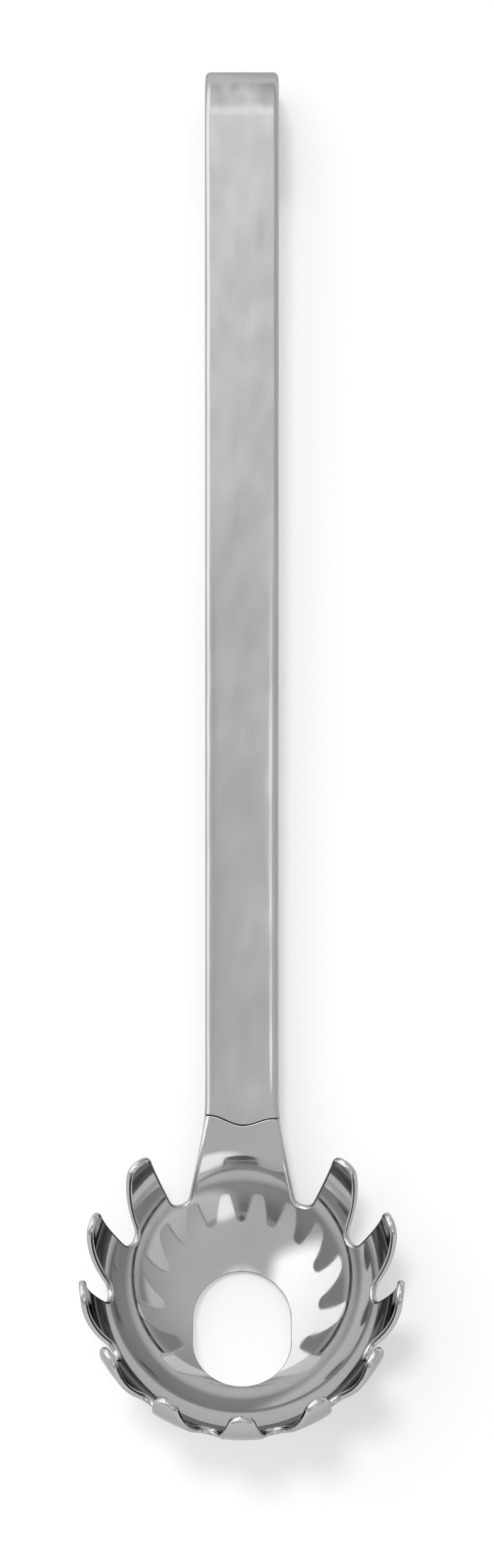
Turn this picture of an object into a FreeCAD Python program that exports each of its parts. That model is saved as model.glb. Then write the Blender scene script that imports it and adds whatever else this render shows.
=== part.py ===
import FreeCAD, Part
import math
import os
from FreeCAD import Vector

os.makedirs("parts", exist_ok=True)

# Pasta server in stainless steel, lying on a table with its bowl open upwards.
# Finished frame: +Y runs along the handle to the hook, +Z is up, the table is z = 0.
# Work frame, used until the pieces are laid down: the centre of the bowl's sphere is the
# origin, +Y runs along the handle, +Z is square to the handle's front face.

# Head, one pressing of sheet: bowl, tines, neck and tang
sheet = 1.8
bowl_radius = 37.1
bowl_tilt = 35.4
tine_count = 11
tine_end_angle = 94.0
tine_end_radius = 3.2
notch_angle = 58.4
notch_radius = 2.2
drain_width = 24.4
drain_straight = 6.0
drain_offset = 2.0
neck_pitches = 2
neck_slope = 33.0
neck_bend_radius = 20.0
neck_shoulder = 0.5
tang_length = 30.0
joggle_length = 0.8

# Hollow handle: two shells that meet halfway through its thickness
handle_width = 17.8
handle_length = 245.7
shell_wall = 0.9
hollow_edge_radius = 0.4
tang_clearance = 0.05
hook_radius = 12.0
hook_leg_length = 16.0

# Joints: neck weld, edge welds and the plug at the tip of the hook
weld_gap = 0.3
mouth_wave = 2.0
neck_fillet_length = 2.6
edge_weld_depth = 0.5
plug_depth = 6.0
plug_clearance = 0.05

# Derived sizes of the head
outer_radius = bowl_radius + sheet
middle_radius = bowl_radius + sheet / 2
pitch_angle = 360.0 / (tine_count + neck_pitches)
notch_height = -middle_radius * math.cos(math.radians(notch_angle))
tine_end_height = -middle_radius * math.cos(math.radians(tine_end_angle))
far_away = 4 * bowl_radius

# Derived sizes of the handle
handle_thickness = sheet + 2 * (shell_wall + tang_clearance)
edge_radius = hollow_edge_radius + shell_wall
flat_width = handle_width - 2 * edge_radius
tang_width = flat_width - 2 * tang_clearance
front_height = neck_bend_radius - (bowl_radius + neck_bend_radius) * math.cos(math.radians(neck_slope))
middle_height = front_height - handle_thickness / 2
back_height = front_height - handle_thickness
neck_end = (bowl_radius + neck_bend_radius) * math.sin(math.radians(neck_slope))
mouth = neck_end + joggle_length
wave_low = mouth + weld_gap
wave_high = wave_low + mouth_wave
hook_start = mouth + handle_length
hook_height = front_height - hook_radius

# The server lies on the bowl and on the leg of the hook, which makes the handle rise a little
lean_angle = math.degrees(
    math.asin((hook_radius - outer_radius) / math.hypot(hook_start, hook_height))
    - math.atan2(hook_height, hook_start)
)
hook_reach = (
    hook_start * math.cos(math.radians(lean_angle))
    - hook_height * math.sin(math.radians(lean_angle))
    + hook_radius
)
bowl_place = -(hook_reach - outer_radius) / 2

ORIGIN = Vector(0, 0, 0)
ACROSS = Vector(1, 0, 0)
ALONG = Vector(0, 1, 0)
UPRIGHT = Vector(0, 0, 1)


def face_of(edges):
    return Part.Face(Part.Wire(Part.__sortEdges__(edges)))


def polygon_face(points):
    return Part.Face(Part.makePolygon(points + points[:1]))


def lean_back(shape):
    """Turn a shape made about the upright axis so that this axis becomes the bowl's axis."""
    turned = shape.copy()
    turned.rotate(ORIGIN, ACROSS, -bowl_tilt)
    return turned


def tangent_point(center, radius, angle):
    return Vector(center.x + radius * math.cos(angle), 0, center.z + radius * math.sin(angle))


def tine_blank():
    """Prism with the outline of one tine, from the notch on its one side to the notch on the other."""
    half_pitch = math.radians(pitch_angle / 2)
    ring_radius = math.sqrt(middle_radius ** 2 - notch_height ** 2)
    end_center = Vector(0, 0, tine_end_height - tine_end_radius)
    notch_center = Vector(ring_radius * math.sin(half_pitch), 0, notch_height + notch_radius)
    span = notch_center - end_center
    side_angle = math.atan2(span.z, span.x) + math.acos((tine_end_radius + notch_radius) / span.Length)
    end_touch = tangent_point(end_center, tine_end_radius, side_angle)
    notch_touch = tangent_point(notch_center, -notch_radius, side_angle)
    notch_low = Vector(notch_center.x, 0, notch_height)
    notch_mid = tangent_point(notch_center, -notch_radius, (side_angle + math.pi / 2) / 2)
    root = notch_height - notch_radius
    mirrored = [Vector(-p.x, 0, p.z) for p in (end_touch, notch_touch, notch_mid, notch_low)]
    outline = face_of([
        Part.Arc(end_touch, Vector(0, 0, tine_end_height), mirrored[0]).toShape(),
        Part.makeLine(end_touch, notch_touch),
        Part.Arc(notch_touch, notch_mid, notch_low).toShape(),
        Part.makeLine(notch_low, Vector(notch_low.x, 0, root)),
        Part.makeLine(Vector(notch_low.x, 0, root), Vector(-notch_low.x, 0, root)),
        Part.makeLine(Vector(-notch_low.x, 0, root), mirrored[3]),
        Part.Arc(mirrored[3], mirrored[2], mirrored[1]).toShape(),
        Part.makeLine(mirrored[1], mirrored[0]),
    ])
    return outline.extrude(ALONG * far_away)


def notch_beside_neck():
    """Centre, in the plan of the handle, of the round notch between the neck and the first tine.

    The lowest point of this notch reaches the height of the other notches on the inner face too.
    """
    ring_radius = math.sqrt(bowl_radius ** 2 - notch_height ** 2)
    turn = math.radians(pitch_angle * neck_pitches / 2)
    tilt = math.radians(bowl_tilt)
    ahead = ring_radius * math.cos(turn) * math.cos(tilt) + notch_height * math.sin(tilt)
    return Vector(ring_radius * math.sin(turn), ahead + notch_radius, 0)


def neck_blank():
    """Prism with the plan outline of the neck: handle width at its end, widening to round notches."""
    center = notch_beside_neck()
    corner = Vector(handle_width / 2 + neck_shoulder, neck_end, 0)
    span = center - corner
    side_angle = math.atan2(span.y, span.x) + math.acos(notch_radius / span.Length)
    touch = center - Vector(math.cos(side_angle), math.sin(side_angle), 0) * notch_radius
    low = center - ALONG * notch_radius
    middle = center - Vector(math.cos(math.pi / 4), math.sin(math.pi / 4), 0) * notch_radius
    inside = low - ALONG * 2 * notch_radius
    right = [corner, touch, middle, low, inside]
    left = [Vector(-p.x, p.y, 0) for p in right]
    outline = face_of([
        Part.makeLine(left[0], right[0]),
        Part.makeLine(right[0], right[1]),
        Part.Arc(right[1], right[2], right[3]).toShape(),
        Part.makeLine(right[3], right[4]),
        Part.makeLine(right[4], left[4]),
        Part.makeLine(left[4], left[3]),
        Part.Arc(left[3], left[2], left[1]).toShape(),
        Part.makeLine(left[1], left[0]),
    ])
    return outline.extrude(UPRIGHT * -far_away)


def split_box():
    """Block beyond the plane, through the bowl's centre, where the neck is joined to the bowl."""
    split_angle = (notch_angle - bowl_tilt + neck_slope) / 2
    block = Part.makeBox(2 * far_away, far_away, 2 * far_away, Vector(-far_away, 0, -far_away))
    block.rotate(ORIGIN, ACROSS, split_angle)
    return block


def drain_punch():
    """Punch with round ends through the floor of the bowl, longer along the handle than across it."""
    radius = drain_width / 2
    near = drain_offset - drain_straight / 2
    far = drain_offset + drain_straight / 2
    outline = face_of([
        Part.Arc(Vector(-radius, near, 0), Vector(0, near - radius, 0), Vector(radius, near, 0)).toShape(),
        Part.makeLine(Vector(radius, near, 0), Vector(radius, far, 0)),
        Part.Arc(Vector(radius, far, 0), Vector(0, far + radius, 0), Vector(-radius, far, 0)).toShape(),
        Part.makeLine(Vector(-radius, far, 0), Vector(-radius, near, 0)),
    ])
    return lean_back(outline.extrude(UPRIGHT * -far_away))


def bowl_with_tines():
    shell = lean_back(Part.makeSphere(outer_radius).cut(Part.makeSphere(bowl_radius)))
    below_notches = Part.makeBox(
        2 * far_away, 2 * far_away, far_away, Vector(-far_away, -far_away, notch_height - far_away))
    blanks = [lean_back(below_notches), neck_blank().cut(split_box())]
    for number in range(tine_count):
        blank = tine_blank()
        blank.rotate(ORIGIN, UPRIGHT, (number + (neck_pitches + 1) / 2) * pitch_angle)
        blanks.append(lean_back(blank))
    bowl = shell.common(blanks[0].multiFuse(blanks[1:]))
    return bowl.cut(drain_punch())


def neck():
    """Sheet that leaves the sphere at the neck's slope and bends over into the handle's plane."""
    slope = math.radians(neck_slope)
    bend_center = Vector(0, neck_end, front_height - neck_bend_radius)

    def on_sphere(radius, angle):
        return Vector(0, radius * math.sin(angle), -radius * math.cos(angle))

    def on_bend(radius, angle):
        return bend_center + Vector(0, -radius * math.sin(angle), radius * math.cos(angle))

    def flat_end(radius):
        return on_bend(radius, 0) + ALONG * neck_bend_radius

    def arc(point, radius, first, last):
        return Part.Arc(point(radius, first), point(radius, (first + last) / 2), point(radius, last)).toShape()

    under = neck_bend_radius - sheet
    section = face_of([
        arc(on_sphere, bowl_radius, 0, slope),
        arc(on_bend, neck_bend_radius, slope, 0),
        Part.makeLine(on_bend(neck_bend_radius, 0), flat_end(neck_bend_radius)),
        Part.makeLine(flat_end(neck_bend_radius), flat_end(under)),
        Part.makeLine(flat_end(under), on_bend(under, 0)),
        arc(on_bend, under, 0, slope),
        arc(on_sphere, outer_radius, slope, 0),
        Part.makeLine(on_sphere(outer_radius, 0), on_sphere(bowl_radius, 0)),
    ])
    reach = neck_pitches * pitch_angle
    section.rotate(ORIGIN, UPRIGHT, -reach)
    flange = section.revolve(ORIGIN, UPRIGHT, 2 * reach)
    return flange.common(neck_blank()).common(split_box())


def tang():
    """Tongue of the head that steps down by one shell wall and lies inside the handle."""
    step = shell_wall + tang_clearance
    top = [
        Vector(0, neck_end, front_height),
        Vector(0, mouth, front_height - step),
        Vector(0, mouth + tang_length, front_height - step),
    ]
    bottom = [point - UPRIGHT * sheet for point in reversed(top)]
    side = polygon_face(top + bottom)
    side.translate(ACROSS * (-tang_width / 2))
    return side.extrude(ACROSS * tang_width)


def bowl_head():
    return bowl_with_tines().fuse([neck(), tang()]).removeSplitter()


def handle_section(place, inset=0, widening=0):
    """Rectangle with round edges across the handle at this place, smaller all round by the inset."""
    radius = edge_radius - inset
    across = flat_width / 2 + widening
    through = handle_thickness / 2 - edge_radius
    arcs = []
    for number, (side, face) in enumerate(((1, 1), (-1, 1), (-1, -1), (1, -1))):
        center = Vector(side * across, place, middle_height + face * through)
        turns = [math.radians(90 * number + part) for part in (0, 45, 90)]
        arcs.append([center + Vector(math.cos(turn), 0, math.sin(turn)) * radius for turn in turns])
    edges = []
    for arc, following in zip(arcs, arcs[1:] + arcs[:1]):
        edges.append(Part.Arc(*arc).toShape())
        edges.append(Part.makeLine(arc[2], following[0]))
    return face_of(edges)


def weld_groove(side, place):
    """Wedge in one edge of the handle section, left for side -1 and right for side +1."""
    tip = handle_width / 2 - edge_weld_depth
    far = tip + 2 * edge_weld_depth
    return polygon_face([
        Vector(side * tip, place, middle_height),
        Vector(side * far, place, middle_height + edge_weld_depth),
        Vector(side * far, place, middle_height - edge_weld_depth),
    ])


def shell_section(face, place):
    """Half of the hollow section, in front for face +1 and behind for face -1, with weld grooves."""
    limit = middle_height + face * handle_thickness
    half = polygon_face([
        Vector(-handle_width, place, middle_height),
        Vector(handle_width, place, middle_height),
        Vector(handle_width, place, limit),
        Vector(-handle_width, place, limit),
    ])
    ring = handle_section(place).cut(handle_section(place, shell_wall)).common(half)
    return ring.cut([weld_groove(-1, place), weld_groove(1, place)]).Faces[0]


def weld_section(side, place):
    return handle_section(place).common(weld_groove(side, place)).Faces[0]


def bend_round_hook(shape):
    bent = shape.copy()
    bent.rotate(Vector(0, hook_start, hook_height), ACROSS, -180 - lean_angle)
    return bent


def run_along_handle(section_at):
    """Carry a section up the handle, round the hook and along the hook's leg."""
    straight = section_at(mouth).extrude(ALONG * handle_length)
    top = section_at(hook_start)
    bend = top.revolve(Vector(0, hook_start, hook_height), ACROSS * -1, 180 + lean_angle)
    leg = bend_round_hook(top.extrude(ALONG * hook_leg_length))
    return straight.fuse([bend, leg]).removeSplitter()


def mouth_cutter():
    """Block in the front half of the mouth, bounded by a shallow wave that is lowest in the middle."""
    wave_steps = 8
    wave = []
    for number in range(wave_steps + 1):
        turn = 2 * math.pi * number / wave_steps
        wave.append(Vector(
            flat_width * (number / wave_steps - 0.5),
            wave_low + mouth_wave * (1 + math.cos(turn)) / 2,
            middle_height))
    curve = Part.BSplineCurve()
    curve.interpolate(wave)
    frame = [
        wave[-1],
        Vector(handle_width, wave_high, middle_height),
        Vector(handle_width, neck_end, middle_height),
        Vector(-handle_width, neck_end, middle_height),
        Vector(-handle_width, wave_high, middle_height),
        wave[0],
    ]
    sides = [Part.makeLine(first, second) for first, second in zip(frame, frame[1:])]
    return face_of([curve.toShape()] + sides).extrude(UPRIGHT * handle_thickness)


def handle_front_shell():
    return run_along_handle(lambda place: shell_section(1, place)).cut(mouth_cutter())


def handle_back_shell():
    return run_along_handle(lambda place: shell_section(-1, place))


def edge_weld(side):
    """Flush bead that fills the groove between the two shells along one edge of the handle."""
    return run_along_handle(lambda place: weld_section(side, place)).cut(mouth_cutter())


def hook_end_plug():
    """Tongue in the hollow of the leg, with a rounded cap that ends the hook."""
    leg_end = hook_start + hook_leg_length
    cap_thickness = handle_thickness / 2
    cap_rounding = 0.8 * edge_radius
    cap = handle_section(leg_end).extrude(ALONG * cap_thickness)
    outer_rim = [edge for edge in cap.Edges if edge.BoundBox.YMin > leg_end + cap_thickness / 2]
    cap = cap.makeFillet(cap_rounding, outer_rim)
    tongue = handle_section(leg_end - plug_depth, shell_wall + plug_clearance).extrude(ALONG * plug_depth)
    return bend_round_hook(cap.fuse(tongue))


def neck_weld():
    """Filler between neck and mouth: round the tang, up to the wave in front, and a fillet behind."""
    neck_side = handle_section(neck_end, 0, neck_shoulder).OuterWire
    mouth_side = handle_section(mouth).OuterWire
    taper = Part.makeLoft([neck_side, mouth_side], True, True).cut(tang())
    wall = handle_section(mouth).cut(handle_section(mouth, shell_wall))
    wave_filler = wall.extrude(ALONG * 2 * (wave_high - mouth)).common(mouth_cutter())
    fillet = polygon_face([
        Vector(-flat_width / 2, neck_end - neck_fillet_length, front_height - sheet),
        Vector(-flat_width / 2, neck_end, front_height - sheet),
        Vector(-flat_width / 2, neck_end, back_height),
    ]).extrude(ACROSS * flat_width).cut(neck())
    return taper.fuse([wave_filler, fillet])


def lay_down(shape):
    """Turn a finished piece so that bowl and hook touch the table, with the part's middle at y = 0."""
    laid = shape.copy()
    laid.rotate(ORIGIN, ACROSS, lean_angle)
    laid.translate(Vector(0, bowl_place, outer_radius))
    return laid


pieces = {
    "bowl_head": bowl_head(),
    "handle_front_shell": handle_front_shell(),
    "handle_back_shell": handle_back_shell(),
    "left_edge_weld": edge_weld(-1),
    "right_edge_weld": edge_weld(1),
    "hook_end_plug": hook_end_plug(),
    "neck_weld": neck_weld(),
}
for name, shape in pieces.items():
    laid = lay_down(shape)
    laid.exportStep(f"parts/{name}.step")
    box = laid.optimalBoundingBox()
    print(
        f"{name}: {len(laid.Solids)} solid(s), valid {laid.isValid()}, volume {laid.Volume:.1f} mm3,",
        f"x {box.XMin:.2f} to {box.XMax:.2f}, y {box.YMin:.2f} to {box.YMax:.2f},",
        f"z {box.ZMin:.2f} to {box.ZMax:.2f}",
    )
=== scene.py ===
# %% [markdown]
# # A pasta server in stainless steel
# The imported model is the fixed frame: it says where every piece is, and nothing here moves or resizes it.
# Loading comes first.

# %% Load the frame
import math

import bpy
import numpy as np
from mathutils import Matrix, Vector


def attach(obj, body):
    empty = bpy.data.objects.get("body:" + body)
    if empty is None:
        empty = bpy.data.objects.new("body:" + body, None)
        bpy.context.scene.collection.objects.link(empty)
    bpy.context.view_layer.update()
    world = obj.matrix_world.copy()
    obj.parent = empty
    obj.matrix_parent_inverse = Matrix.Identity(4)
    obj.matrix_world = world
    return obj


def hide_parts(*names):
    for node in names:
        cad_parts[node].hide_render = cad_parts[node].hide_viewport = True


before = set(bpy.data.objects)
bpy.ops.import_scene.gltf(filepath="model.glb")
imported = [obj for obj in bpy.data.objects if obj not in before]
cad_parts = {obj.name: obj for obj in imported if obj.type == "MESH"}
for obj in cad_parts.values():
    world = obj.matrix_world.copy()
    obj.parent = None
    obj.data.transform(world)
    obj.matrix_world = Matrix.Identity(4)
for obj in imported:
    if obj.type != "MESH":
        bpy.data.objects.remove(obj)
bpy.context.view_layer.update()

scene = bpy.context.scene
scene.view_settings.view_transform = "Standard"

# %% [markdown]
# ## The sizes
# The surfaces below are worked out from the sizes that the solids were made with, in millimetres and
# degrees. They are written once here. The shapes are worked out in a work frame whose origin is the
# centre of the bowl's sphere, with +Y along the handle. One last step lays them down on the table and
# turns them into metres.

# %% Sizes of the server
sheet = 1.8
bowl_radius = 37.1
bowl_tilt = math.radians(35.4)
tine_count = 11
tine_end_angle = math.radians(94.0)
tine_end_radius = 3.2
notch_angle = math.radians(58.4)
notch_radius = 2.2
drain_width = 24.4
drain_straight = 6.0
drain_offset = 2.0
neck_pitches = 2
neck_slope = math.radians(33.0)
neck_bend_radius = 20.0
joggle_length = 0.8
handle_width = 17.8
handle_length = 245.7
handle_thickness = 3.7
shell_wall = 0.9
edge_radius = 1.3
hook_radius = 12.0
hook_leg_length = 16.0
weld_gap = 0.3
mouth_wave = 2.0
edge_weld_depth = 0.5

outer_radius = bowl_radius + sheet
middle_radius = bowl_radius + sheet / 2
pitch = 2 * math.pi / (tine_count + neck_pitches)
front_height = neck_bend_radius - (bowl_radius + neck_bend_radius) * math.cos(neck_slope)
neck_end = (bowl_radius + neck_bend_radius) * math.sin(neck_slope)
mouth = neck_end + joggle_length
hook_start = mouth + handle_length
hook_height = front_height - hook_radius
hook_distance = math.hypot(hook_start, hook_height)
lean = math.asin((hook_radius - outer_radius) / hook_distance) - math.atan2(hook_height, hook_start)
hook_reach = hook_start * math.cos(lean) - hook_height * math.sin(lean) + hook_radius
bowl_place = -(hook_reach - outer_radius) / 2
print("the handle leans by", round(math.degrees(lean), 2), "degrees")

# %% [markdown]
# ## The camera
# The photograph looks straight down on the server from about a metre, so the near parts are hardly larger
# than the far ones. A camera with no turn at all looks down -Z with +Y at the top of the picture, which
# is that view. The lens follows from the server's length in the picture, which is 2487 pixels high.

# %% Camera above the table
camera_place = (0.00124, -0.00912, 1.0)
picture_height = 2487
focal_pixels = 6398.5
sensor = 36.0
camera_data = bpy.data.cameras.new("photo_camera")
camera_data.sensor_fit = "AUTO"
camera_data.sensor_width = sensor
camera_data.lens = sensor * focal_pixels / picture_height
camera = bpy.data.objects.new("photo_camera", camera_data)
camera.location = camera_place
scene.collection.objects.link(camera)
scene.camera = camera
print("lens", round(camera_data.lens, 1), "mm")

# %% [markdown]
# ## From arrays to faces
# Every surface here is a grid of points: rows along one parameter, columns along the other. A grid may
# close on itself in either direction, as a tube or a ring does. A loop over the cells could make the
# faces, but they are only index arithmetic, so whole arrays do it at once.

# %% Helpers for grids
millimetres_per_metre = 1000


def turn_about_x(points, angle):
    """Turn points about the X axis: y and z mix by the angle's cosine and sine, x stays."""
    x, y, z = np.moveaxis(np.asarray(points, float), -1, 0)
    cosine, sine = math.cos(angle), math.sin(angle)
    return np.stack([x, y * cosine - z * sine, y * sine + z * cosine], -1)


def lay_down(points):
    """From the work frame in mm to the table frame in metres: lean, then move, then divide by 1000."""
    return (turn_about_x(points, lean) + np.array([0, bowl_place, outer_radius])) / millimetres_per_metre


def grid_faces(rows, columns, close_rows, close_columns):
    """Four corners for each cell of the grid; a closed direction takes its next index modulo the count."""
    row_steps = np.arange(rows if close_rows else rows - 1)
    column_steps = np.arange(columns if close_columns else columns - 1)
    row, column = np.meshgrid(row_steps, column_steps, indexing="ij")
    next_row, next_column = (row + 1) % rows, (column + 1) % columns
    corners = ((row, column), (row, next_column), (next_row, next_column), (next_row, column))
    return np.stack([r * columns + c for r, c in corners], -1).reshape(-1, 4)


def outward(points, faces):
    """Faces in the order that points outwards: all are reversed if the signed volume is negative."""
    a, b, c, d = (points[faces[:, corner]] for corner in range(4))
    volume = np.einsum("ij,ij->", a, np.cross(b, c) + np.cross(c, d))
    return faces if volume > 0 else faces[:, ::-1]


print("a grid of 3 by 4 points has", len(grid_faces(3, 4, False, False)), "faces")

# %% [markdown]
# ## From faces to pieces
# A piece is a mesh at the origin that rides on the frame and stands for one solid of it. Polished metal
# shows the least error in a surface's normals, so a piece can bring its own exact ones. Where it doesn't,
# Blender averages them, apart from edges that turn by more than the sharp angle.

# %% Helper for pieces
sharp_angle = math.radians(32)


def make_piece(name, points, faces, node, normals=None):
    """A mesh at the origin from points of the work frame, riding on the frame in place of its CAD node."""
    points = lay_down(points).reshape(-1, 3)
    mesh = bpy.data.meshes.new(name)
    mesh.from_pydata(points, [], outward(points, faces).tolist())
    mesh.polygons.foreach_set("use_smooth", np.ones(len(mesh.polygons), bool))
    if normals is None:
        mesh.set_sharp_from_angle(angle=sharp_angle)
    else:
        mesh.normals_split_custom_set_from_vertices(turn_about_x(normals, lean).reshape(-1, 3))
    piece = bpy.data.objects.new(name, mesh)
    scene.collection.objects.link(piece)
    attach(piece, "root")
    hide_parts(node)
    low = (points.min(0) * millimetres_per_metre).round(1)
    high = (points.max(0) * millimetres_per_metre).round(1)
    print(name, len(mesh.polygons), "faces, from", low, "to", high)
    return piece


print("edges that turn by more than", round(math.degrees(sharp_angle)), "degrees stay sharp")

# %% [markdown]
# ## The head: one sheet, two parameters
# The bowl, tines and neck are one pressing of sheet. Its middle surface is a sphere. In front of the
# handle it leaves the sphere, bends over and runs flat into the handle. A point of the sheet is named by
# two angles as on a globe: theta, down from the pole in the bowl's floor, and phi, round the bowl's axis
# from the handle. Bending a flat net over a mould could make this too, but exact formulas keep the mirror
# free of ripples.

# %% Middle surface of the sheet
bend_middle_radius = neck_bend_radius - sheet / 2
bend_height = front_height - neck_bend_radius
dive_curve = 0.12
neck_sector = pitch * neck_pitches / 2
tiny = 1e-12


def angle_from_zero(angle):
    """The same angle between minus and plus half a turn, read off the unit circle."""
    return np.angle(np.exp(1j * angle))


def sheet_point(theta, phi, height):
    """Point and normal of the sheet at a height above its middle surface.

    On the sphere the normal points to the centre. In the neck, where the work frame's own angle from
    straight down passes the neck's slope, the extra arc length is spent on the bend's arc first and then
    on the flat, which dives into the weld with the square of its length.
    """
    ring = np.sin(theta)
    ball = np.stack([-ring * np.sin(phi), ring * np.cos(phi), -np.cos(theta)], -1)
    ball = turn_about_x(ball, -bowl_tilt)
    out = np.hypot(ball[..., 0], ball[..., 1]) + tiny
    way_x, way_y = ball[..., 0] / out, ball[..., 1] / out
    extra = middle_radius * (np.arctan2(out, -ball[..., 2]) - neck_slope)
    in_neck = (np.abs(angle_from_zero(phi)) < neck_sector) & (extra > 0)
    left = neck_slope - np.clip(extra / bend_middle_radius, 0, neck_slope)
    flat = np.maximum(extra - bend_middle_radius * neck_slope, 0)
    reach = neck_end - bend_middle_radius * np.sin(left) + flat
    dive = dive_curve * np.maximum(way_y * reach - neck_end, 0) ** 2
    rise = bend_height + bend_middle_radius * np.cos(left) - dive
    neck_place = np.stack([way_x * reach, way_y * reach, rise], -1)
    neck_normal = np.stack([-way_x * np.sin(left), -way_y * np.sin(left), np.cos(left)], -1)
    normal = np.where(in_neck[..., None], neck_normal, -ball)
    place = np.where(in_neck[..., None], neck_place, ball * middle_radius)
    return place + normal * np.asarray(height)[..., None], normal


def globe_angles(points):
    """The two angles of points near the bowl's sphere: turned upright, then two arctangents."""
    x, y, z = np.moveaxis(turn_about_x(points, bowl_tilt), -1, 0)
    return np.arctan2(np.hypot(x, y), -z), np.arctan2(-x, y)


def neck_angles(x, y):
    """The two angles of a neck point seen in plan: undo the flat, the bend and the sphere in turn."""
    reach = np.hypot(x, y)
    left = np.arcsin(np.clip((neck_end - reach) / bend_middle_radius, 0, math.sin(neck_slope)))
    past_bend = np.maximum(reach - neck_end, 0)
    on_ball = np.arcsin(np.clip(reach / middle_radius, 0, math.sin(neck_slope)))
    past_ball = neck_slope + (bend_middle_radius * (neck_slope - left) + past_bend) / middle_radius
    angle = np.where(reach > middle_radius * math.sin(neck_slope), past_ball, on_ball)
    ball = np.stack([np.sin(angle) * x / reach, np.sin(angle) * y / reach, -np.cos(angle)], -1)
    return globe_angles(ball)


print("the neck bends over at", round(neck_end, 1), "mm from the bowl's centre")

# %% [markdown]
# ## The outline of the tines
# A tine is drawn flat, as on the die: a round end, two straight sides and a round notch on each side. It
# is then laid on the globe, and repeated round the bowl. The first and last tine are a little wider on
# the side towards the neck, because the picture shows them so.

# %% Outline of the tines as two angles
notch_height = -middle_radius * math.cos(notch_angle)
tine_end_height = -middle_radius * math.cos(tine_end_angle)
ring_radius = middle_radius * math.sin(notch_angle)
tine_arc_points = 20
neck_side_widening = 0.25


def arc(center, radius, first, last, count):
    """Points of a circle's arc: centre plus radius times the cosine and sine of an even run of angles."""
    angle = np.linspace(first, last, count)
    return np.stack([center[0] + radius * np.cos(angle), center[1] + radius * np.sin(angle)], -1)


def tine_outline():
    """Half a tine from notch to end, then the same mirrored: two arcs joined by their common tangent."""
    end_center = np.array([0, tine_end_height - tine_end_radius])
    notch_center = np.array([ring_radius * math.sin(pitch / 2), notch_height + notch_radius])
    span = notch_center - end_center
    side = math.atan2(span[1], span[0]) + math.acos((tine_end_radius + notch_radius) / np.hypot(*span))
    half = np.concatenate([
        arc(notch_center, notch_radius, -math.pi / 2, side - math.pi, tine_arc_points),
        arc(end_center, tine_end_radius, side, math.pi / 2, tine_arc_points)])
    return np.concatenate([half, half[-2::-1] * [-1, 1]])


tine_across, tine_up = tine_outline().T
tine_theta = np.arccos(-tine_up / middle_radius)
tine_turn = -np.arcsin(tine_across / np.sqrt(middle_radius ** 2 - tine_up ** 2))
tine_turn = np.tile(tine_turn, (tine_count, 1))
wider = 1 + neck_side_widening * (tine_up - notch_height) / (tine_end_height - notch_height)
tine_turn[0] *= np.where(tine_turn[0] < 0, wider, 1)
tine_turn[-1] *= np.where(tine_turn[-1] > 0, wider, 1)
tine_middles = (np.arange(tine_count) + (neck_pitches + 1) / 2) * pitch
print(tine_count, "tines of", len(tine_theta), "points each")

# %% [markdown]
# ## The outline of the neck
# The neck is drawn in plan: from the handle's width it widens in a soft turn, then straight down to the
# notches beside it. Its upper end is tucked into the weld and drawn in a little there, so that it never
# shows beyond it.

# %% Outline of the neck in plan
flare_slope = 0.19
flare_softness = 1.6
tuck_length = 0.9
tuck_side_length = 1.6
tuck_curve = 0.3
neck_side_points = 40
neck_arc_points = 16
side_above_notch = 1.0

neck_notch_low = turn_about_x(
    [ring_radius * math.sin(neck_sector), ring_radius * math.cos(neck_sector), notch_height], -bowl_tilt)
neck_notch = neck_notch_low[:2] + [0, notch_radius]
notch_side = neck_notch[0] - notch_radius * math.hypot(1, flare_slope)
flare_start = neck_notch[1] + (notch_side - handle_width / 2) / flare_slope


def flare(along):
    """Half width of the handle and neck: constant up the handle, then a soft turn into a straight taper."""
    ramp = np.logaddexp(0, (flare_start - np.asarray(along)) / flare_softness) * flare_softness
    return handle_width / 2 + flare_slope * ramp


def neck_outline():
    """Right side of the neck in plan: the end tucked into the weld, the flared side, then the notch."""
    tuck = np.array([[0, neck_end + tuck_length], [handle_width / 4, neck_end + tuck_length]])
    along = np.linspace(neck_end + tuck_side_length, neck_notch[1] + side_above_notch, neck_side_points)
    side = np.stack([flare(along) - tuck_curve * np.maximum(along - neck_end, 0) ** 2, along], -1)
    notch = arc(neck_notch, notch_radius, math.atan(flare_slope) + math.pi, 1.5 * math.pi, neck_arc_points)
    return np.concatenate([tuck, side, notch])


print("the neck starts to widen at", round(flare_start, 1), "mm from the bowl's centre")

# %% [markdown]
# ## One closed line
# Neck and tines together are one closed line round the globe. It is divided evenly by its length, so that
# the grid's columns are even too, and then softened by less than a column's width. Rounding corner by
# corner would also do, but multiplying the line's waves treats every corner alike.

# %% Outline as one closed line
column_count = 700
fineness = 8
worn_width = 5


def even_loop(theta, phi, count):
    """Divide a closed line on the globe evenly by its arc length, the sum of its small steps."""
    theta, phi = np.append(theta, theta[0]), np.append(phi, phi[0] + 2 * math.pi)
    step = np.hypot(np.diff(theta), np.sin((theta[1:] + theta[:-1]) / 2) * np.diff(phi))
    along = np.append(0, np.cumsum(step))
    even = np.linspace(0, along[-1], count, endpoint=False)
    return np.interp(even, along, theta), np.interp(even, along, phi)


def soften(values, width):
    """Smooth a closed run of values with a bell-shaped weight, by multiplying its waves."""
    waves = np.fft.fftfreq(len(values))
    return np.fft.ifft(np.fft.fft(values) * np.exp(-2 * (math.pi * waves * width) ** 2)).real


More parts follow.
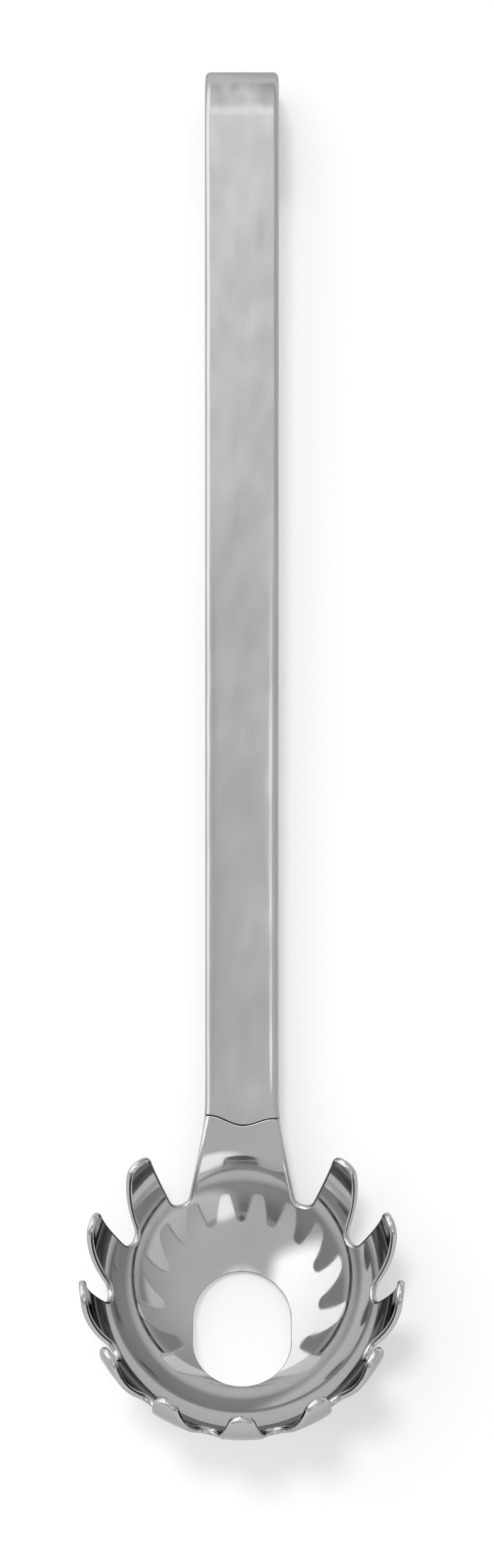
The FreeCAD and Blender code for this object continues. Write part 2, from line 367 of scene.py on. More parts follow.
left_x, left_y = (neck_outline() * [-1, 1]).T
neck_theta, neck_phi = neck_angles(left_x, left_y)
tines_phi = (tine_middles[:, None] + tine_turn).ravel()
loop_theta = np.concatenate([neck_theta, np.tile(tine_theta, tine_count), neck_theta[:0:-1]])
loop_phi = np.concatenate([neck_phi, tines_phi, 2 * math.pi - neck_phi[:0:-1]])
edge_theta, edge_phi = even_loop(loop_theta, loop_phi, fineness * column_count)
even_turn = np.linspace(0, 2 * math.pi, len(edge_phi), endpoint=False)
edge_theta = soften(edge_theta, worn_width)[::fineness]
edge_phi = (soften(edge_phi - even_turn, worn_width) + even_turn)[::fineness]
largest_theta = round(math.degrees(edge_theta.max()), 1)
print("outline of", column_count, "points, theta up to", largest_theta, "degrees")

# %% [markdown]
# ## The drain hole and the worn edges
# The hole in the bowl's floor is a slot with round ends. A boolean cut would leave a ragged edge in the
# mirror, so its rim is worked out direction by direction and the grid simply starts there. Both its rim
# and the outline get a rounded edge: small at the hole, nearly a full round on the tines, and wide on the
# neck, where the wheel reaches.

# %% Edges of the sheet
tine_edge_wide, tine_edge_deep = 0.75, 0.8
neck_edge_wide, neck_edge_deep = 1.1, 0.85
hole_edge = 0.4
neck_blend = 0.35
tucked_loss = 0.8
outline_edge_steps = 7
hole_edge_steps = 5


def drain_radius(phi):
    """Distance from the bowl's axis to the rim of the drain hole, a slot with round ends, by direction.

    Along a direction the straight side is met at half the width over the sine, and an end's circle at the
    root of the usual quadratic. The side counts where it is met between the two ends.
    """
    half, half_straight = drain_width / 2, drain_straight / 2
    ahead, aside = np.cos(phi), np.abs(np.sin(phi))
    on_side = half / np.maximum(aside, tiny)
    place = on_side * ahead
    center = np.where(place > drain_offset, drain_offset + half_straight, drain_offset - half_straight)
    on_end = center * ahead + np.sqrt(half ** 2 - (center * aside) ** 2)
    return np.where(np.abs(place - drain_offset) < half_straight, on_side, on_end)


def loop_direction(points):
    """Unit direction of a closed line at each point, from its two neighbours."""
    ahead = np.roll(points, -1, 0) - np.roll(points, 1, 0)
    return ahead / np.linalg.norm(ahead, axis=-1, keepdims=True)


def sheet_edge(theta, phi, wide, deep, inward_sign, steps):
    """Points and normals round an edge of the sheet, from its inner face to its outer face.

    The section is a rectangle with two corners that are quarter ellipses: wide into the sheet, deep
    through it. The normal of an ellipse has its cosine divided by the width and its sine by the depth.
    """
    middle, normal = sheet_point(theta, phi, np.zeros_like(theta))
    inward = np.cross(normal, loop_direction(middle)) * inward_sign
    wide, deep = wide[:, None], deep[:, None]
    quarter = np.linspace(math.pi / 2, 0, steps)
    turn = np.concatenate([quarter, -quarter[::-1]])[:, None, None]
    lift = np.repeat([1.0, -1.0], steps)[:, None, None] * (sheet / 2 - deep)
    points = middle + inward * wide * (1 - np.cos(turn)) + normal * (lift + deep * np.sin(turn))
    facing = normal * np.sin(turn) / deep - inward * np.cos(turn) / wide
    return points, facing / np.linalg.norm(facing, axis=-1, keepdims=True), middle + inward * wide


neck_share = np.clip((1 - np.abs(angle_from_zero(edge_phi)) / neck_sector) / neck_blend, 0, 1)
edge_line, _ = sheet_point(edge_theta, edge_phi, np.zeros(column_count))
tucked_share = np.clip((edge_line[:, 1] - neck_end) / tuck_side_length, 0, 1)
kept_edge = 1 - tucked_loss * tucked_share
edge_wide = (tine_edge_wide + (neck_edge_wide - tine_edge_wide) * neck_share) * kept_edge
edge_deep = (tine_edge_deep + (neck_edge_deep - tine_edge_deep) * neck_share) * kept_edge
rim_points, rim_normals, rim_inside = sheet_edge(
    edge_theta, edge_phi, edge_wide, edge_deep, 1, outline_edge_steps)
hole_round = np.full(column_count, hole_edge)
hole_theta = np.arcsin(drain_radius(edge_phi) / middle_radius)
hole_points, hole_normals, hole_inside = sheet_edge(
    hole_theta, edge_phi, hole_round, hole_round, -1, hole_edge_steps)
print("the drain hole starts", round(math.degrees(hole_theta.min()), 1), "degrees from the bowl's pole")

# %% [markdown]
# ## The head as one closed grid
# A thin sheet with a hole in it is a ring, so its whole skin is one grid that closes both ways. The
# columns run round the outline. The rows run across the inner face from the hole to the edge, round the
# worn edge, back over the outer face, and round the edge of the hole. The inner face has more rows,
# because it is the one looked at.

# %% Build the head
inner_rows = 86
outer_rows = 30
low_theta, low_phi = globe_angles(hole_inside)
ball_theta, ball_phi = globe_angles(rim_inside)
plan_theta, plan_phi = neck_angles(rim_inside[:, 0], rim_inside[:, 1])
high_theta = np.where(neck_share > 0, plan_theta, ball_theta)
high_phi = np.where(neck_share > 0, plan_phi, ball_phi)


def sheet_face(row_count, height):
    """Points and normals of one face: even steps from the hole's rim to the outline, at one height."""
    share = np.linspace(0, 1, row_count + 2)[1:-1, None]
    theta = low_theta + (high_theta - low_theta) * share
    phi = low_phi + angle_from_zero(high_phi - low_phi) * share
    return sheet_point(theta, phi, np.full_like(theta, height))


inner_points, inner_normals = sheet_face(inner_rows, sheet / 2)
outer_points, outer_normals = sheet_face(outer_rows, -sheet / 2)
head_points = np.concatenate([inner_points, rim_points, outer_points[::-1], hole_points[::-1]])
head_normals = np.concatenate([inner_normals, rim_normals, -outer_normals[::-1], hole_normals[::-1]])
head_faces = grid_faces(len(head_points), column_count, True, True)
bowl_head = make_piece(
    "bowl_head_polished", head_points, head_faces, "bowl_head", head_normals)

# %% [markdown]
# ## The handle: a section carried along a path
# The hollow handle is two bent channels, one in front and one behind, welded along the edges. Each is a
# small closed section that is carried up the handle, round the hook and along the hook's leg. A curve
# with a bevel could do that, but only this way can each section point start where the wave of the neck's
# weld is.

# %% Carry sections along the handle
hook_turn = math.pi + lean
leg_start = hook_start + hook_radius * hook_turn
leg_end = leg_start + hook_leg_length
flat_half = handle_width / 2 - edge_radius
wave_tilt = 0.4
hook_play = 0.015
back_start = 0.4
back_span = 0.2


def ease(share):
    """Smooth step of a share from 0 to 1: three times its square less twice its cube."""
    return share ** 2 * (3 - 2 * share)


def carry(x, depth, along):
    """Place of a section point: x across, depth below the front face, along the front face's own length.

    Up to the hook it lies on a straight line. On the hook it turns about the hook's centre, at the hook's
    radius less its depth and a hair of play. On the leg it goes straight on in the direction where the turn
    ended. The flare widens x.
    """
    turn = np.clip((along - hook_start) / hook_radius, 0, hook_turn)
    leg = np.maximum(along - leg_start, 0)
    arm = hook_radius - depth - hook_play * np.abs(np.sin(turn))
    y = np.minimum(along, hook_start) + arm * np.sin(turn) + leg * math.cos(hook_turn)
    z = hook_height + arm * np.cos(turn) - leg * math.sin(hook_turn)
    return np.stack([x * flare(along) / (handle_width / 2), y, z], -1)


def wave(x):
    """Where the front shell starts: a cosine over the flat face, plus a slight tilt up to the left."""
    across = np.clip(x / flat_half, -1, 1)
    return mouth + weld_gap + mouth_wave * (1 - np.cos(math.pi * across)) / 2 - wave_tilt * across


def joint_line(x, depth):
    """Length at which handle meets weld: the wave on the front half, the straight mouth on the back."""
    back_share = np.clip((depth / handle_thickness - back_start) / back_span, 0, 1)
    return wave(x) + (mouth - wave(x)) * ease(back_share)


print("hook turns", round(math.degrees(hook_turn), 1), "degrees, the leg ends at", round(leg_end, 1), "mm")

# %% [markdown]
# ## Rows along the handle
# The rows of a sweep are close together near the neck, where the finish changes and the face begins to
# sink, and on the hook. A straight stretch needs few. The ends of a sweep are closed by a strip of faces
# between the two halves of its section, which is simpler than a fan and leaves no pole.

# %% Helpers for sweeps
straight_rows = 90
hook_rows = 64
row_crowding = 1.6
straight_share = np.linspace(0, 1, straight_rows)[:, None] ** row_crowding
hook_share = np.linspace(0, 1, hook_rows)[1:, None]


def sweep_lengths(start):
    """Rows of lengths from each section point's own start: up the handle, round the hook, along the leg."""
    straight = start + (hook_start - start) * straight_share
    hook = hook_start + (leg_start - hook_start) * hook_share
    rest = np.concatenate([hook, [[leg_start + hook_leg_length / 2], [leg_end]]])
    return np.concatenate([straight, np.broadcast_to(rest, (len(rest), len(start)))])


def swept_faces(rows, columns):
    """Faces of a tube of closed sections, each end closed by a strip between the halves of its section."""
    sides = grid_faces(rows, columns, False, True)
    first = np.arange(columns // 2 - 1)
    strip = np.stack([first, first + 1, columns - 2 - first, columns - 1 - first], -1)
    return np.concatenate([sides, strip[:, ::-1], strip + (rows - 1) * columns])


print("sweeps of", len(sweep_lengths(np.zeros(1))), "rows")

# %% [markdown]
# ## The section of a shell
# A shell's section is a flat face, two round edges and the start of two sides, with an inner line one
# wall further in. The front face is sunk by a fifth of a millimetre or a little more, as thin sheet is
# after pressing and polishing. The step beside its right edge catches the main light and draws the bright
# line seen there.

# %% Section of the shells
face_columns = 61
edge_columns = 9
dish_half = 7.3
dish_change = (45.0, 80.0)
dish_depths = (0.2, 0.35)
dish_powers = (20, 7)
dish_start = 2.0
dish_rise = 9.0
dish_fade = (140.0, 195.0)


def shell_outline():
    """Outer and inner line of half the hollow section as x and depth, with the outer line's normals.

    Face points lie at depth 0. An edge point is the corner's centre plus the radius times sine and cosine,
    and the inner line has the same directions with the radius less one wall. The last points make the weld
    groove.
    """
    face_x = flat_half * np.sin(np.linspace(-math.pi / 2, math.pi / 2, face_columns))
    seam = handle_thickness / 2 - edge_radius
    side_drop = np.append(np.zeros(edge_columns), [seam - edge_weld_depth / 2, seam])
    side_tilt = np.append(np.linspace(0, math.pi / 2, edge_columns + 1)[1:], [math.pi / 2, math.pi / 2])
    side_x = np.full(len(side_drop), flat_half)
    center_x = np.concatenate([-side_x, face_x, side_x])
    tilt = np.concatenate([-side_tilt[::-1], np.zeros(face_columns), side_tilt])
    drop = np.concatenate([side_drop[::-1], np.zeros(face_columns), side_drop])
    groove = np.zeros(len(drop))
    groove[[0, -1]] = edge_weld_depth
    center = np.stack([center_x, edge_radius + drop], -1)
    normal = np.stack([np.sin(tilt), -np.cos(tilt)], -1)
    outer = center + normal * (edge_radius - groove)[:, None]
    inner = center + normal * (edge_radius - shell_wall)
    return outer, inner, normal


def face_depth(x, along):
    """How far the front face is sunk: a dish 1 - x^n, steep at its sides near the neck, rounder higher up.

    It fades in above the neck weld and fades out again below the hook.
    """
    depth = np.interp(along, dish_change, dish_depths)
    power = np.interp(along, dish_change, dish_powers)
    fade_in = np.clip((along - wave(x) - dish_start) / dish_rise, 0, 1)
    fade = fade_in * np.interp(along, dish_fade, (1, 0))
    return depth * (1 - np.minimum(np.abs(x) / dish_half, 1) ** power) * ease(fade)


print("a shell's section has", 2 * len(shell_outline()[0]), "points")

# %% [markdown]
# ## Front and back shell
# The two shells share one section. The back one is the same turned over, and it has no dish. At the mouth
# the outer line is rounded over, which leaves the fine groove that shows as a dark wavy line.

# %% Build the shells
mouth_round = 0.28
mouth_slit = 0.08
mouth_rows = 4


def build_shell(name, node, front):
    """Sweep of one shell. Its outer line is rounded over at the mouth: a quarter circle of inset rows."""
    outer, inner, normal = shell_outline()
    section = np.concatenate([outer, inner[::-1]])
    facing = np.concatenate([normal, np.zeros_like(normal)])
    depth = section[:, 1] if front else handle_thickness - section[:, 1]
    out_depth = facing[:, 1] if front else -facing[:, 1]
    start = joint_line(section[:, 0], depth) + mouth_slit
    turn = np.linspace(0, math.pi / 2, mouth_rows + 1)[:-1, None]
    mouth_lengths = start + mouth_round * (1 - np.cos(turn))
    lengths = np.concatenate([mouth_lengths, sweep_lengths(start + mouth_round)])
    inset = np.zeros((len(lengths), 1))
    inset[:mouth_rows] = mouth_round * (1 - np.sin(turn))
    x = section[:, 0] - inset * facing[:, 0]
    deep = depth - inset * out_depth
    on_face = (facing[:, 1] == -1) & front
    deep = deep + np.where(on_face, face_depth(section[:, 0], lengths), 0)
    faces = swept_faces(len(lengths), len(section))
    return make_piece(name, carry(x, deep, lengths), faces, node)


front_shell = build_shell("handle_front_satin", "handle_front_shell", True)
back_shell = build_shell("handle_back_satin", "handle_back_shell", False)

# %% [markdown]
# ## The edge welds
# The two shells meet in a small groove along each edge. The weld bead fills it and is ground down until
# it stands a hair proud. It is a sweep again, of a section with only four corners.

# %% Build the edge welds
bead_height = 0.06


def build_bead(name, node, side):
    """Bead section: the groove's tip, its two lips and a crest just outside, carried along one edge."""
    half, lip = handle_width / 2, edge_weld_depth / 2
    middle = handle_thickness / 2
    x = side * np.array([half - edge_weld_depth, half, half + bead_height, half])
    depth = np.array([middle, middle - lip, middle, middle + lip])
    lengths = sweep_lengths(wave(x))
    return make_piece(name, carry(x, depth, lengths), swept_faces(*lengths.shape), node)


left_bead = build_bead("left_bead_satin", "left_edge_weld", -1)
right_bead = build_bead("right_bead_satin", "right_edge_weld", 1)

# %% [markdown]
# ## The plug
# The plug closes the open end of the hook's leg with a rounded cap. It could be a bevelled box. As a
# sweep of a round-edged rectangle that is drawn in towards its end, it meets the handle's section
# exactly.

# %% Build the plug
section_columns = 31
corner_columns = 8
cap_round = 0.8 * edge_radius
cap_rows = 9
seat_lengths = [0.0, 0.08, 0.12]
seat_insets = [0.1, 0.05, 0.0]


def round_section(half, front, back, wide, deep):
    """Round-edged rectangle as x and depth, with its normals: two faces joined by four quarter ellipses."""
    across = np.linspace(-1, 1, section_columns) * (half - wide)
    turn = np.linspace(0, math.pi / 2, corner_columns + 1)[1:]
    corner_x = half - wide + wide * np.sin(turn)
    corner_depth = deep * (1 - np.cos(turn))
    right_x = np.concatenate([corner_x, corner_x[::-1]])
    right_depth = np.concatenate([front + corner_depth, back - corner_depth[::-1]])
    right_tilt = np.concatenate([turn, math.pi - turn[::-1]])
    right_normal = np.stack([np.sin(right_tilt), -np.cos(right_tilt)], -1)
    front_normal = np.tile([0.0, -1.0], (section_columns, 1))
    x = np.concatenate([across, right_x, across[::-1], -right_x[::-1]])
    depth = np.concatenate([
        np.full(section_columns, front), right_depth, np.full(section_columns, back), right_depth[::-1]])
    normal = np.concatenate([front_normal, right_normal, -front_normal, right_normal[::-1] * [-1, 1]])
    return x, depth, normal


def build_plug():
    """Cap of the hook: a short chamfered seat, then a quarter circle in to its flat end."""
    x, depth, normal = round_section(handle_width / 2, 0, handle_thickness, edge_radius, edge_radius)
    cap_length = handle_thickness / 2
    turn = np.linspace(0, math.pi / 2, cap_rows)
    rows = np.append(seat_lengths, cap_length - cap_round + cap_round * np.sin(turn))[:, None]
    inset = np.append(seat_insets, cap_round * (1 - np.cos(turn)))[:, None]
    points = carry(x - inset * normal[:, 0], depth - inset * normal[:, 1], leg_end + rows)
    faces = swept_faces(len(rows), len(x))
    return make_piece("hook_end_satin", points, faces, "hook_end_plug")


plug = build_plug()

# %% [markdown]
# ## The neck weld
# The weld between neck and handle is ground flush in front and polished with the head, so only the fine
# wavy line shows where the satin handle begins. Behind, it is a fillet that takes up the difference in
# thickness. It is drawn as one section that changes into another: the neck's at one end and the handle's
# at the other.

# %% Build the neck weld
proud = 0.004
fillet_length = 2.6
fillet_rows = 14
fillet_sunk = 0.1
fillet_narrowing = 0.012


def build_neck_weld():
    """Straight change from the neck's section to the handle's, with the end rounded over along the wave."""
    x_neck, deep_neck, _ = round_section(
        handle_width / 2 - proud, proud, sheet - fillet_sunk, neck_edge_wide, neck_edge_deep)
    x_end, deep_end, normal = round_section(
        handle_width / 2 + proud, -proud, handle_thickness, edge_radius, edge_radius)
    back_share = np.clip(2 * deep_neck / sheet - 1, 0, 1)
    x_neck = x_neck * (1 - fillet_narrowing * back_share)
    from_length = neck_end - fillet_length * back_share
    to_length = joint_line(x_end, deep_end) - mouth_slit
    turn = np.linspace(0, math.pi / 2, mouth_rows + 1)[1:, None]
    part = np.linspace(0, 1, fillet_rows)[:, None]
    lengths = np.concatenate([
        from_length + (to_length - mouth_round - from_length) * part,
        to_length - mouth_round * (1 - np.sin(turn))])
    change = np.concatenate([part, np.ones_like(turn)])
    inset = np.concatenate([np.zeros_like(part), mouth_round * (1 - np.cos(turn))])
    x = x_neck + (x_end - x_neck) * change - inset * normal[:, 0]
    depth = deep_neck + (deep_end - deep_neck) * change - inset * normal[:, 1]
    faces = swept_faces(*lengths.shape)
    return make_piece("neck_weld_polished", carry(x, depth, lengths), faces, "neck_weld")


neck_weld = build_neck_weld()

# %% [markdown]
# ## Layers for a steel finish
# Both finishes are made from the same few layers: a noise that is stretched along the axes and drives the
# tone, the roughness or a bump. The noise reads the object's own coordinates in metres, so it stays on
# the metal. Seen at a slant, steel gives back less light than the plain formula says, so the tint for
# slanting light is below 1.

# %% Helpers for finishes
slant_tint = 0.6
noise_low, noise_high = 0.3, 0.7


def new_nodes(name):
    """A node material, its nodes and its links."""
    material = bpy.data.materials.new(name)
    material.use_nodes = True
    return material, material.node_tree.nodes, material.node_tree.links


def new_finish(name):
    """A metal material, with its shader to which a finish below adds its layers."""
    material, nodes, links = new_nodes(name)
    shader = nodes["Principled BSDF"]
    shader.inputs["Metallic"].default_value = 1.0
    shader.inputs["Specular Tint"].default_value = (slant_tint, slant_tint, slant_tint, 1)
    return material, nodes, links, shader


def math_node(nodes, links, operation, first, second):
    """Math node; its second input is a fixed number or another node's output."""
    node = nodes.new("ShaderNodeMath")
    node.operation = operation
    links.new(first, node.inputs[0])
    if isinstance(second, (int, float)):
        node.inputs[1].default_value = second
    else:
        links.new(second, node.inputs[1])
    return node.outputs["Value"]


def noise_layer(nodes, links, stretch, detail, low=0.0, high=1.0):
    """Noise on Object coordinates, stretched per axis in waves per metre, mapped to a range of values."""
    place = nodes.new("ShaderNodeTexCoord")
    mapping = nodes.new("ShaderNodeMapping")
    mapping.inputs["Scale"].default_value = stretch
    noise = nodes.new("ShaderNodeTexNoise")
    noise.inputs["Scale"].default_value = 1.0
    noise.inputs["Detail"].default_value = detail
    spread = nodes.new("ShaderNodeMapRange")
    spread.clamp = False
    spread.inputs["From Min"].default_value = noise_low
    spread.inputs["From Max"].default_value = noise_high
    spread.inputs["To Min"].default_value = low
    spread.inputs["To Max"].default_value = high
    links.new(place.outputs["Object"], mapping.inputs["Vector"])
    links.new(mapping.outputs["Vector"], noise.inputs["Vector"])
    links.new(noise.outputs["Fac"], spread.inputs["Value"])
    return spread.outputs["Result"]


def steel_colour(nodes, links, tone, tint):
    """Metal colour from one tone: each channel is the tone multiplied by its tint."""
    colour = nodes.new("ShaderNodeCombineColor")
    for channel, factor in zip(("Red", "Green", "Blue"), tint):
        links.new(math_node(nodes, links, "MULTIPLY", tone, factor), colour.inputs[channel])
    return colour.outputs["Color"]


def bump_layer(nodes, links, height, strength, distance, below=None):
    """Bump of a height layer; its distance is in metres. A bump below it is passed on."""
    bump = nodes.new("ShaderNodeBump")
    bump.inputs["Strength"].default_value = strength
    bump.inputs["Distance"].default_value = distance
    links.new(height, bump.inputs["Height"])
    if below is not None:
        links.new(below, bump.inputs["Normal"])
    return bump.outputs["Normal"]


print("slanting light is tinted by", slant_tint)

# %% [markdown]
# ## Mirror-polished steel
# The head is buffed until it reflects like a mirror. Steel gives back only about half of the light, so
# what is seen after two or three bounces between the tines is dark. The finish is not perfect: slow waves
# are left from pressing, and the haze of the buffing wheel changes a little from place to place.

# %% Mirror finish
mirror_finish, nodes, links, shader = new_finish("mirror_polish")
tone = noise_layer(nodes, links, stretch=(60, 60, 60), detail=3, low=0.45, high=0.49)
links.new(steel_colour(nodes, links, tone, tint=(1.0, 0.997, 0.99)), shader.inputs["Base Color"])
haze = noise_layer(nodes, links, stretch=(420, 420, 420), detail=4, low=0.035, high=0.085)
links.new(haze, shader.inputs["Roughness"])
pressing = noise_layer(nodes, links, stretch=(75, 75, 75), detail=1)
waves = bump_layer(nodes, links, pressing, strength=0.25, distance=0.00003)
links.new(waves, shader.inputs["Normal"])
mirror_pieces = (bowl_head, neck_weld)
for piece in mirror_pieces:
    piece.data.materials.append(mirror_finish)
print("mirror finish on", len(mirror_pieces), "pieces")

# %% [markdown]
# ## Satin steel
# The handle is brushed and then tumbled: reflections are gone, but the light still flows over it in soft
# patches. Five layers give that: slow changes in tone and in roughness, and bumps of three sizes, which
# are wide clouds, a fine grain and faint lines along the handle.

# %% Satin finish
satin_finish, nodes, links, shader = new_finish("satin_brushed")
tone = noise_layer(nodes, links, stretch=(70, 28, 70), detail=4, low=0.41, high=0.465)
links.new(steel_colour(nodes, links, tone, tint=(1.0, 0.998, 0.992)), shader.inputs["Base Color"])
brushing = noise_layer(nodes, links, stretch=(120, 45, 120), detail=3, low=0.24, high=0.33)
links.new(brushing, shader.inputs["Roughness"])
cloud_height = noise_layer(nodes, links, stretch=(70, 26, 70), detail=2)
clouds = bump_layer(nodes, links, cloud_height, strength=1.0, distance=0.0006)
grain_height = noise_layer(nodes, links, stretch=(1600, 1100, 1600), detail=2)
grain = bump_layer(nodes, links, grain_height, strength=0.12, distance=0.00004, below=clouds)
line_height = noise_layer(nodes, links, stretch=(2600, 60, 2600), detail=3)
lines = bump_layer(nodes, links, line_height, strength=0.10, distance=0.00004, below=grain)
links.new(lines, shader.inputs["Normal"])
satin_pieces = (front_shell, back_shell, left_bead, right_bead, plug)
for piece in satin_pieces:
    piece.data.materials.append(satin_finish)
print("satin finish on", len(satin_pieces), "pieces")

# %% [markdown]
# ## White paper
# The server lies on white paper. The tent's light alone would leave it grey, so the camera and the
# reflections see it partly glow. The rest of what they see is the paper as it is lit, so that the shadow
# stays. Further out, where no shadow falls, the glow takes over, so that every other view has a white
# floor too.

# %% Paper finish
paper_tone = 0.73
paper_glow = 1.03
near_share = 0.3
near_radius, far_radius = 0.4, 1.6
floor_white, nodes, links = new_nodes("floor_white")
paper = nodes["Principled BSDF"]
paper.inputs["Base Color"].default_value = (paper_tone, paper_tone, paper_tone, 1)
paper.inputs["Roughness"].default_value = 0.9
paper.inputs["Specular IOR Level"].default_value = 0.1
glow = nodes.new("ShaderNodeEmission")
glow.inputs["Strength"].default_value = paper_glow
path = nodes.new("ShaderNodeLightPath")
seen = math_node(nodes, links, "MAXIMUM", path.outputs["Is Camera Ray"], path.outputs["Is Glossy Ray"])
seen = math_node(nodes, links, "MAXIMUM", seen, path.outputs["Is Transmission Ray"])
place = nodes.new("ShaderNodeTexCoord")
far = nodes.new("ShaderNodeVectorMath")
far.operation = "LENGTH"
links.new(place.outputs["Object"], far.inputs[0])
share = nodes.new("ShaderNodeMapRange")
share.interpolation_type = "SMOOTHSTEP"
share.inputs["From Min"].default_value = near_radius
share.inputs["From Max"].default_value = far_radius
share.inputs["To Min"].default_value = near_share
links.new(far.outputs["Value"], share.inputs["Value"])
mix = nodes.new("ShaderNodeMixShader")
links.new(math_node(nodes, links, "MULTIPLY", seen, share.outputs["Result"]), mix.inputs["Fac"])
links.new(paper.outputs["BSDF"], mix.inputs[1])
links.new(glow.outputs["Emission"], mix.inputs[2])
links.new(mix.outputs["Shader"], nodes["Material Output"].inputs["Surface"])
print("glow is", near_share, "of the paper near the server and all of it from", far_radius, "m on")

# %% [markdown]
# ## The floor
# One large square is enough for the paper. It lies a twentieth of a millimetre low, because the hook's
# leg and the floor would otherwise share one plane and flicker. The floor is staged: it belongs to the
# picture, not to the part.

# %% Build the floor
floor_half = 2.9
floor_height = -0.00005


def stage_object(name, points, faces, material):
    """A staged mesh that isn't part of the server."""
    mesh = bpy.data.meshes.new(name)
    mesh.from_pydata(points.reshape(-1, 3), [], faces.tolist())
    mesh.polygons.foreach_set("use_smooth", np.ones(len(mesh.polygons), bool))
    mesh.materials.append(material)
    staged = bpy.data.objects.new(name, mesh)
    scene.collection.objects.link(staged)
    return staged


floor_corners = np.array([[-1, -1], [1, -1], [1, 1], [-1, 1]]) * floor_half
floor_points = np.column_stack([floor_corners, np.full(len(floor_corners), floor_height)])
floor = stage_object("floor", floor_points, np.array([[0, 1, 2, 3]]), floor_white)
print("floor of", 2 * floor_half, "m")

# %% [markdown]
# ## Patches of light
# Polished metal shows its surroundings, so these are part of its look. The server stands in a light tent,
# a dome that glows. Lamps and softboxes could stand round the table as objects. Here they are soft
# patches in the dome's own glow, each a smooth step of the angle to a direction, so that no hard outline
# shows in the steel.

# %% Helpers for patches of light
right_angle = 90
tent_light, nodes, links = new_nodes("tent_light")
nodes.remove(nodes["Principled BSDF"])
place = nodes.new("ShaderNodeTexCoord")
direction = nodes.new("ShaderNodeVectorMath")
direction.operation = "NORMALIZE"
links.new(place.outputs["Object"], direction.inputs[0])


def sky(azimuth, elevation):
    """Unit vector of a direction in the sky, in degrees: azimuth from +X towards +Y, then elevation."""
    turn, rise = math.radians(azimuth), math.radians(elevation)
    return np.array([math.cos(rise) * math.cos(turn), math.cos(rise) * math.sin(turn), math.sin(rise)])


def along_axis(axis):
    """How far the direction goes along an axis: their dot product."""
    aim = nodes.new("ShaderNodeVectorMath")
    aim.operation = "DOT_PRODUCT"
    aim.inputs[1].default_value = axis
    links.new(direction.outputs["Vector"], aim.inputs[0])
    return aim.outputs["Value"]


def soft_step(value, start, end, strength):
    """Rises smoothly from 0 to its strength while the value goes from start to end."""
    step = nodes.new("ShaderNodeMapRange")
    step.interpolation_type = "SMOOTHSTEP"
    step.inputs["From Min"].default_value = start
    step.inputs["From Max"].default_value = end
    step.inputs["To Max"].default_value = strength
    links.new(value, step.inputs["Value"])
    return step.outputs["Result"]


def round_patch(toward, radius, softness, strength):
    """Round patch of light: the soft step of the cosine of the angle to its middle."""
    outside, inside = math.cos(math.radians(radius + softness)), math.cos(math.radians(radius - softness))
    return soft_step(along_axis(toward), outside, inside, strength)


def softbox(first, last, top_azimuth, top, softness, strength):
    """Wide patch of light: three soft steps multiplied, for two upright edges and a leaning upper one.

    Each edge is a great circle, so its step is taken along the circle's own pole. The upper edge reaches
    its greatest elevation at the top azimuth and falls to both sides.
    """
    box = soft_step(along_axis(sky(first + right_angle, 0)), -softness, softness, strength)
    for pole in (sky(last - right_angle, 0), sky(top_azimuth, top - right_angle)):
        edge = soft_step(along_axis(pole), -softness, softness, 1.0)
        box = math_node(nodes, links, "MULTIPLY", box, edge)
    return box


print("straight up is", sky(0, 90).round(3))

# %% [markdown]
# ## The light tent
# The dome is brightest overhead. One large softbox on the left is the main light. A lamp over the upper
# handle and a weak one behind the hook shade the satin from top to bottom, and a reflector in front draws
# the bright band on the neck. A small dark disc overhead stands for the camera. The picture itself shows
# no tent, only the white behind it.

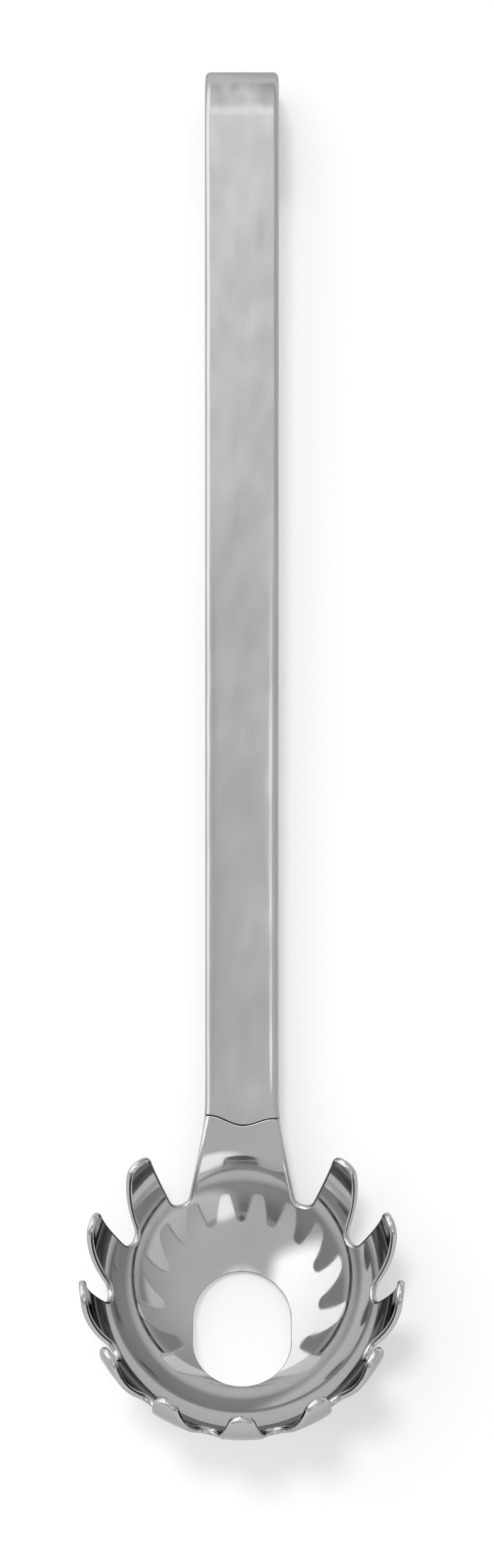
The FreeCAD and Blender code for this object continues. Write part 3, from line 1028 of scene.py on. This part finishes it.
# %% Build the light tent
tent_base = 0.57
tent_least = 0.03
tent_radius = 2.8
tent_rows, tent_columns = 33, 64
tent_foot, tent_gap = 0.01, 0.02
lights = [
    soft_step(along_axis(sky(0, 90)), start=0.0, end=0.8, strength=0.26),
    softbox(first=96, last=203, top_azimuth=172, top=67, softness=0.13, strength=1.2),
    round_patch(sky(90, 74), radius=12.5, softness=9, strength=0.98),
    round_patch(sky(85, 40), radius=16, softness=12, strength=0.15),
    round_patch(sky(287, 39), radius=11, softness=4, strength=0.85),
    round_patch(sky(90, 84.4), radius=3.2, softness=0.7, strength=-1.5),
]
total = lights[0]
for light in lights[1:]:
    total = math_node(nodes, links, "ADD", total, light)
total = math_node(nodes, links, "ADD", total, tent_base)
tent_glow = nodes.new("ShaderNodeEmission")
links.new(math_node(nodes, links, "MAXIMUM", total, tent_least), tent_glow.inputs["Strength"])
links.new(tent_glow.outputs["Emission"], nodes["Material Output"].inputs["Surface"])

rise = np.linspace(-tent_foot, math.pi / 2 - tent_gap, tent_rows)[:, None]
turn = np.linspace(0, 2 * math.pi, tent_columns, endpoint=False)
tent_points = tent_radius * np.stack(np.broadcast_arrays(
    np.cos(rise) * np.cos(turn), np.cos(rise) * np.sin(turn), np.sin(rise)), -1)
tent = stage_object("light_tent", tent_points, grid_faces(tent_rows, tent_columns, False, True), tent_light)
tent.visible_camera = False
scene.world = bpy.data.worlds.new("white_beyond")
scene.world.use_nodes = True
scene.world.node_tree.nodes["Background"].inputs["Color"].default_value = (1, 1, 1, 1)
print("light tent of radius", tent_radius, "m with", len(lights), "lights")

# %% [markdown]
# ## A lamp for the shadow
# The picture's shadow is short and lies to the right and below, as from one lamp high up behind the
# handle. On the steel such a lamp would leave a hard spot of light. Light linking keeps it off the steel:
# the lamp lights the paper alone, and the server is what stands in its way. The tent doesn't block it.

# %% Lamp on the paper
lamp_azimuth, lamp_elevation = 107, 66
lamp_data = bpy.data.lights.new("shadow_lamp", "SUN")
lamp_data.energy = 1.3
lamp_data.angle = math.radians(10)
lamp = bpy.data.objects.new("shadow_lamp", lamp_data)
lamp.rotation_euler = Vector(sky(lamp_azimuth, lamp_elevation)).to_track_quat("Z", "Y").to_euler()
scene.collection.objects.link(lamp)
lit_paper = bpy.data.collections.new("lit_paper")
lit_paper.objects.link(floor)
lamp.light_linking.receiver_collection = lit_paper
in_its_way = bpy.data.collections.new("in_its_way")
for piece in mirror_pieces + satin_pieces:
    in_its_way.objects.link(piece)
lamp.light_linking.blocker_collection = in_its_way
